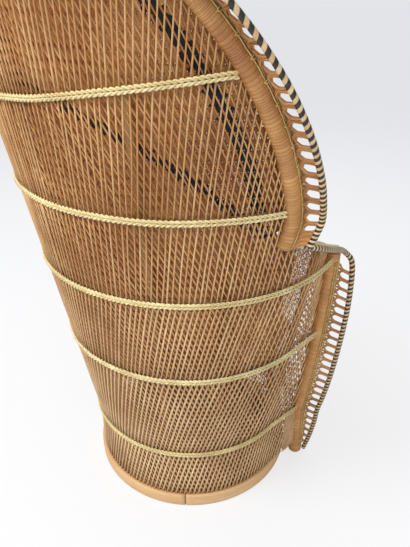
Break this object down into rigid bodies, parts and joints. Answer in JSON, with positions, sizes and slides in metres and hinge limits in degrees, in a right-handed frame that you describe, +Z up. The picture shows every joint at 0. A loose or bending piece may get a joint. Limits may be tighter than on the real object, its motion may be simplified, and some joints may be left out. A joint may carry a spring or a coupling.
{
  "type": "peacock armchair",
  "caption": "High fan-backed woven cane armchair on a round barrel base, with open lattice skins, wrapped edge rolls, a lacy border and striped rims.",
  "frame": {"origin": "middle of the bounding box at the floor, a little behind the axis of the round base", "axes": "+Z up, the sitter faces -Y, the sitter's left arm is on +X"},
  "size_m": [0.883, 0.802, 1.4143],
  "materials": {
    "bent_wood": "steam-bent pale wood, matte",
    "cane_pole": "round cane poles, satin",
    "cane_strand": "round cane strands, satin",
    "peel_wrap": "honey cane peel wrapped over a bundle, satin",
    "peel_seat": "close weave of cane peel, satin",
    "peel_lining": "red-brown flat peel strips with black strips, satin",
    "straw_twine": "pale straw twining, matte",
    "pale_wrap": "pale peel wrapping, satin",
    "striped_wrap": "black and natural peel wrapped in turn, satin"
  },
  "bodies": {
    "root": {"base_hoop": "bent_wood", "back_post_middle": "cane_pole", "back_post_right": "cane_pole", "back_post_left": "cane_pole", "side_post_right": "cane_pole", "side_post_left": "cane_pole", "arm_post_right": "cane_pole", "arm_post_left": "cane_pole", "hoop_pole_1": "cane_pole", "hoop_pole_2": "cane_pole", "hoop_pole_3": "cane_pole", "hoop_pole_4": "cane_pole", "hoop_pole_5": "cane_pole", "seat_bar_rear": "cane_pole", "seat_bar_front": "cane_pole", "front_leg_right": "cane_pole", "front_leg_left": "cane_pole", "outer_weave_lower": "cane_strand", "outer_weave_fan": "cane_strand", "front_apron": "cane_strand", "fan_lace": "cane_strand", "arm_lace_right": "cane_strand", "arm_lace_left": "cane_strand", "fan_roll": "peel_wrap", "seat_ring": "peel_wrap", "arm_roll_right": "peel_wrap", "arm_roll_left": "peel_wrap", "seat_panel": "peel_seat", "lining_lower": "peel_lining", "lining_fan": "peel_lining", "twined_band_1": "straw_twine", "twined_band_2": "straw_twine", "twined_band_3": "straw_twine", "twined_band_4": "straw_twine", "twined_band_5": "straw_twine", "arm_rail_outer_right": "pale_wrap", "arm_rail_outer_left": "pale_wrap", "arm_rail_inner_right": "pale_wrap", "arm_rail_inner_left": "pale_wrap", "fan_rim": "striped_wrap", "arm_rim_right": "striped_wrap", "arm_rim_left": "striped_wrap", "arm_inner_rim_right": "striped_wrap", "arm_inner_rim_left": "striped_wrap"}
  },
  "joints": []
}
